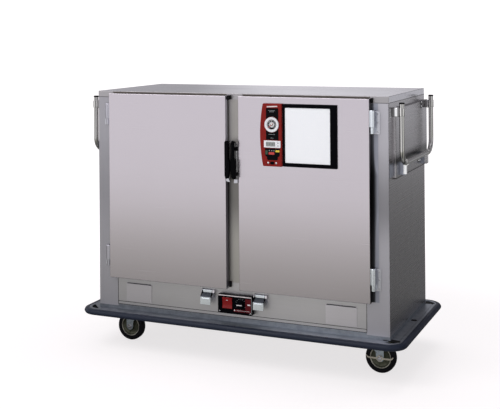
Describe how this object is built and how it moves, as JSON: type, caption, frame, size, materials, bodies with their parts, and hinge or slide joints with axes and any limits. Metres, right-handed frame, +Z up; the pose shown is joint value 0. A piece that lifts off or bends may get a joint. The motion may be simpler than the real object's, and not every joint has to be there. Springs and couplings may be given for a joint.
{
  "type": "insulated food carrier",
  "caption": "Heated, insulated stainless banquet cabinet with double hinged doors, plug-in heat module, instrument panel, push handles, bumper base and swivel casters.",
  "frame": {"origin": "on the floor under the centre of the bumper footprint", "axes": "+X to the right as seen from the doors, +Y to the back, +Z up"},
  "size_m": [1.754, 0.868, 1.361],
  "materials": {
    "stainless": "horizontal brushed stainless",
    "stainless_lid": "brushed stainless, long grain",
    "stainless_inner": "bright liner stainless",
    "galvanised": "dull galvanised steel",
    "chrome": "bright plated",
    "cast_metal": "satin plated casting",
    "zinc": "zinc plated pressed steel",
    "black_grip": "black vinyl grip",
    "black_panel": "black moulded plastic",
    "bumper_rubber": "dark blue-black bumper vinyl",
    "tyre": "black cushion tread on a grey hub",
    "gasket": "dark door gasket",
    "foam": "insulation",
    "door_core": "foam core bonded to a thin stainless inner skin",
    "red_panel": "deep red control panel",
    "red_lens": "translucent red rocker",
    "white": "white",
    "heater_steel": "heat-tinted element sheath"
  },
  "bodies": {
    "cabinet": {"top_lid": "stainless_lid", "side_panel_left": "stainless", "side_panel_right": "stainless", "back_panel": "stainless", "front_frame": "stainless", "kick_panel": "stainless", "blank_cover_left": "stainless", "blank_cover_right": "stainless", "insulation": "foam", "inner_liner": "stainless_inner", "heat_duct": "stainless_inner", "rack_left": "stainless_inner", "rack_right": "stainless_inner", "base_deck": "galvanised", "base_frame": "galvanised", "bumper": "bumper_rubber", "push_handle_left": "chrome", "push_handle_right": "chrome", "hinge_frame_leaf_left_upper": "cast_metal", "hinge_frame_leaf_left_lower": "cast_metal", "hinge_frame_leaf_right_upper": "cast_metal", "hinge_frame_leaf_right_lower": "cast_metal"},
    "door_left": {"door_skin_left": "stainless", "door_core_left": "door_core", "door_gasket_left": "gasket", "hinge_door_leaf_left_upper": "cast_metal", "hinge_door_leaf_left_lower": "cast_metal", "latch_housing_left": "chrome"},
    "door_right": {"door_skin_right": "stainless", "door_core_right": "door_core", "door_gasket_right": "gasket", "hinge_door_leaf_right_upper": "cast_metal", "hinge_door_leaf_right_lower": "cast_metal", "latch_housing_right": "chrome", "instrument_bezel": "red_panel", "dial_thermometer": "white", "digital_display": "white", "card_frame": "black_grip", "card_sheet": "white"},
    "needle": {"dial_needle": "black_grip"},
    "latch_left": {"latch_lever_left": "black_grip"},
    "latch_right": {"latch_lever_right": "black_grip"},
    "module": {"module_housing": "galvanised", "module_faceplate": "black_panel", "heater_element": "heater_steel"},
    "fan": {"fan_impeller": "galvanised"},
    "rocker": {"power_rocker": "red_lens"},
    "knob": {"thermostat_knob": "black_grip"},
    "module_clamp_left": {"module_latch_left": "cast_metal"},
    "module_clamp_right": {"module_latch_right": "cast_metal"},
    "caster_front_left": {"caster_fork_front_left": "zinc"},
    "wheel_front_left": {"caster_wheel_front_left": "tyre"},
    "caster_front_right": {"caster_fork_front_right": "zinc"},
    "wheel_front_right": {"caster_wheel_front_right": "tyre"},
    "brake_front": {"brake_lever_front": "zinc"},
    "caster_rear_left": {"caster_fork_rear_left": "zinc"},
    "wheel_rear_left": {"caster_wheel_rear_left": "tyre"},
    "caster_rear_right": {"caster_fork_rear_right": "zinc"},
    "wheel_rear_right": {"caster_wheel_rear_right": "tyre"},
    "brake_rear": {"brake_lever_rear": "zinc"}
  },
  "joints": [
    {"name": "door_left_swing", "type": "hinge", "parent": "cabinet", "child": "door_left", "pos_m": [-0.721, -0.376, 0.87], "axis": [0, 0, -1], "range_deg": [0, 180]},
    {"name": "door_right_swing", "type": "hinge", "parent": "cabinet", "child": "door_right", "pos_m": [0.721, -0.376, 0.87], "axis": [0, 0, 1], "range_deg": [0, 180]},
    {"name": "latch_left_pull", "type": "hinge", "parent": "door_left", "child": "latch_left", "pos_m": [-0.029, -0.392, 1.025], "axis": [0, 0, -1], "range_deg": [0, 22]},
    {"name": "latch_right_pull", "type": "hinge", "parent": "door_right", "child": "latch_right", "pos_m": [0.029, -0.392, 1.025], "axis": [0, 0, 1], "range_deg": [0, 22]},
    {"name": "dial_needle_turn", "type": "hinge", "parent": "door_right", "child": "needle", "pos_m": [0.222, -0.405, 1.216], "axis": [0, 1, 0], "range_deg": [0, 270]},
    {"name": "module_slide", "type": "slide", "parent": "cabinet", "child": "module", "axis": [0, -1, 0], "range_m": [0, 0.3]},
    {"name": "fan_spin", "type": "hinge", "parent": "module", "child": "fan", "pos_m": [0.009, -0.15, 0.3], "axis": [0, 0, 1], "continuous": true},
    {"name": "rocker_press", "type": "hinge", "parent": "module", "child": "rocker", "pos_m": [-0.0315, -0.378, 0.318], "axis": [1, 0, 0], "range_deg": [0, 14]},
    {"name": "knob_turn", "type": "hinge", "parent": "module", "child": "knob", "pos_m": [0.042, -0.39, 0.317], "axis": [0, 1, 0], "range_deg": [-135, 135]},
    {"name": "module_clamp_left_lift", "type": "hinge", "parent": "cabinet", "child": "module_clamp_left", "pos_m": [-0.152, -0.358, 0.361], "axis": [-1, 0, 0], "range_deg": [0, 40]},
    {"name": "module_clamp_right_lift", "type": "hinge", "parent": "cabinet", "child": "module_clamp_right", "pos_m": [0.1365, -0.358, 0.361], "axis": [-1, 0, 0], "range_deg": [0, 40]},
    {"name": "caster_front_left_swivel", "type": "hinge", "parent": "cabinet", "child": "caster_front_left", "pos_m": [-0.668, -0.177, 0.178], "axis": [0, 0, 1], "continuous": true},
    {"name": "wheel_front_left_roll", "type": "hinge", "parent": "caster_front_left", "child": "wheel_front_left", "pos_m": [-0.7, -0.177, 0.076], "axis": [0, 1, 0], "continuous": true},
    {"name": "caster_front_right_swivel", "type": "hinge", "parent": "cabinet", "child": "caster_front_right", "pos_m": [0.668, -0.177, 0.178], "axis": [0, 0, 1], "continuous": true},
    {"name": "wheel_front_right_roll", "type": "hinge", "parent": "caster_front_right", "child": "wheel_front_right", "pos_m": [0.7, -0.177, 0.076], "axis": [0, 1, 0], "continuous": true},
    {"name": "brake_front_press", "type": "hinge", "parent": "caster_front_right", "child": "brake_front", "pos_m": [0.7, -0.177, 0.076], "axis": [0, 1, 0], "range_deg": [-12, 12]},
    {"name": "caster_rear_left_swivel", "type": "hinge", "parent": "cabinet", "child": "caster_rear_left", "pos_m": [-0.668, 0.177, 0.178], "axis": [0, 0, 1], "continuous": true},
    {"name": "wheel_rear_left_roll", "type": "hinge", "parent": "caster_rear_left", "child": "wheel_rear_left", "pos_m": [-0.7, 0.177, 0.076], "axis": [0, 1, 0], "continuous": true},
    {"name": "caster_rear_right_swivel", "type": "hinge", "parent": "cabinet", "child": "caster_rear_right", "pos_m": [0.668, 0.177, 0.178], "axis": [0, 0, 1], "continuous": true},
    {"name": "wheel_rear_right_roll", "type": "hinge", "parent": "caster_rear_right", "child": "wheel_rear_right", "pos_m": [0.636, 0.177, 0.076], "axis": [0, 1, 0], "continuous": true},
    {"name": "brake_rear_press", "type": "hinge", "parent": "caster_rear_right", "child": "brake_rear", "pos_m": [0.636, 0.177, 0.076], "axis": [0, 1, 0], "range_deg": [-12, 12]}
  ]
}
